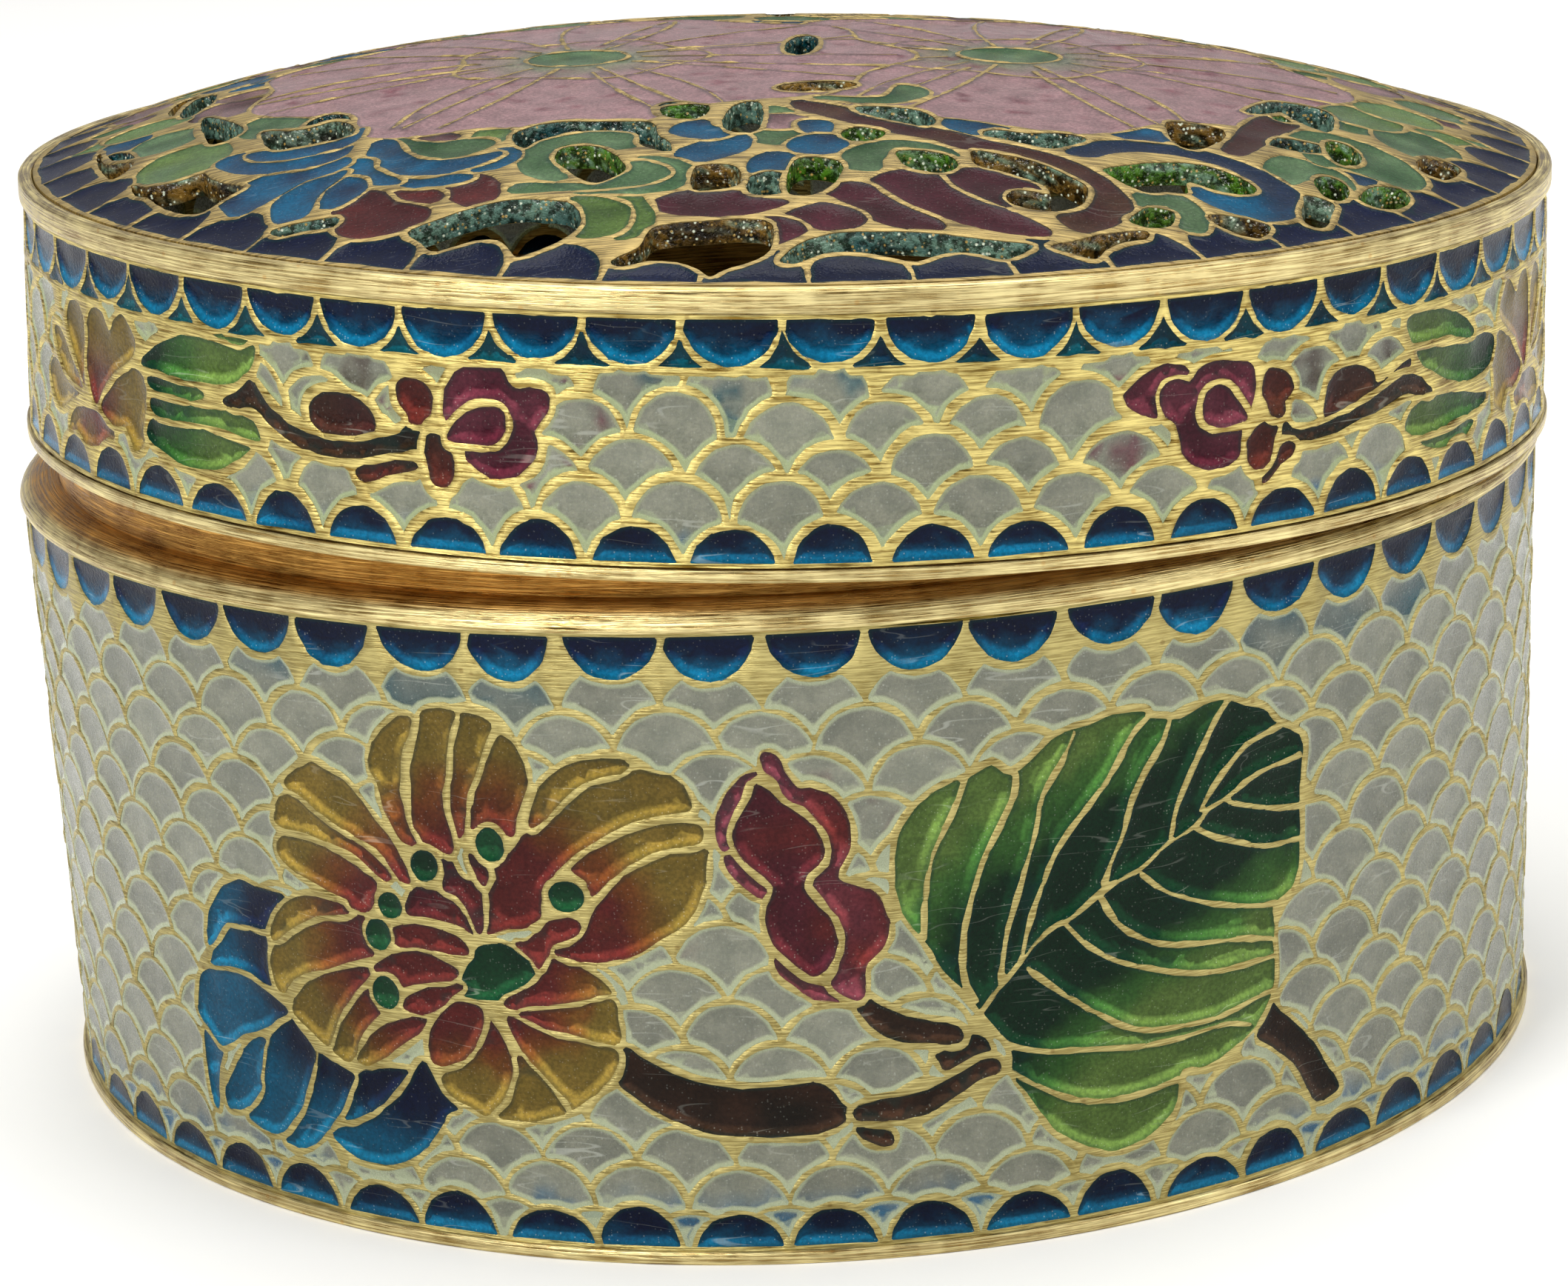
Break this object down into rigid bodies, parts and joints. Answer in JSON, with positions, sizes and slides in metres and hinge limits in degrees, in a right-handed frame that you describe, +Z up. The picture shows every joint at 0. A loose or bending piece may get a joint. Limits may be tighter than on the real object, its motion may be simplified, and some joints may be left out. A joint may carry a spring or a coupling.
{
  "type": "plique-a-jour trinket box",
  "caption": "Round trinket box of gilt wirework filled with window enamel, with a pierced, gently domed lift-off lid set slightly askew.",
  "frame": {"origin": "on the table under the middle of the box, at the underside of the foot ring", "axes": "+Z up through the lid, -Y towards the side with the large flower and leaf, +X to the right as seen from that side"},
  "size_m": [0.0703, 0.0698, 0.045],
  "materials": {
    "gilt_brass": "brushed gilt",
    "body_enamel": "clear grey, amber, burgundy, green and navy window enamel in gilt wirework",
    "lid_enamel": "clear grey, burgundy, green and navy window enamel in gilt wirework",
    "dome_enamel": "mauve, brown, blue, green and navy enamel in gilt wirework, pierced",
    "base_enamel": "clear grey window enamel in gilt wirework"
  },
  "bodies": {
    "root": {"body_foot_ring": "gilt_brass", "body_base_plate": "base_enamel", "body_wall": "body_enamel", "body_rim": "gilt_brass", "lid_lower_rim": "gilt_brass", "lid_wall": "lid_enamel", "lid_edge_band": "gilt_brass", "lid_dome": "dome_enamel"}
  },
  "joints": []
}
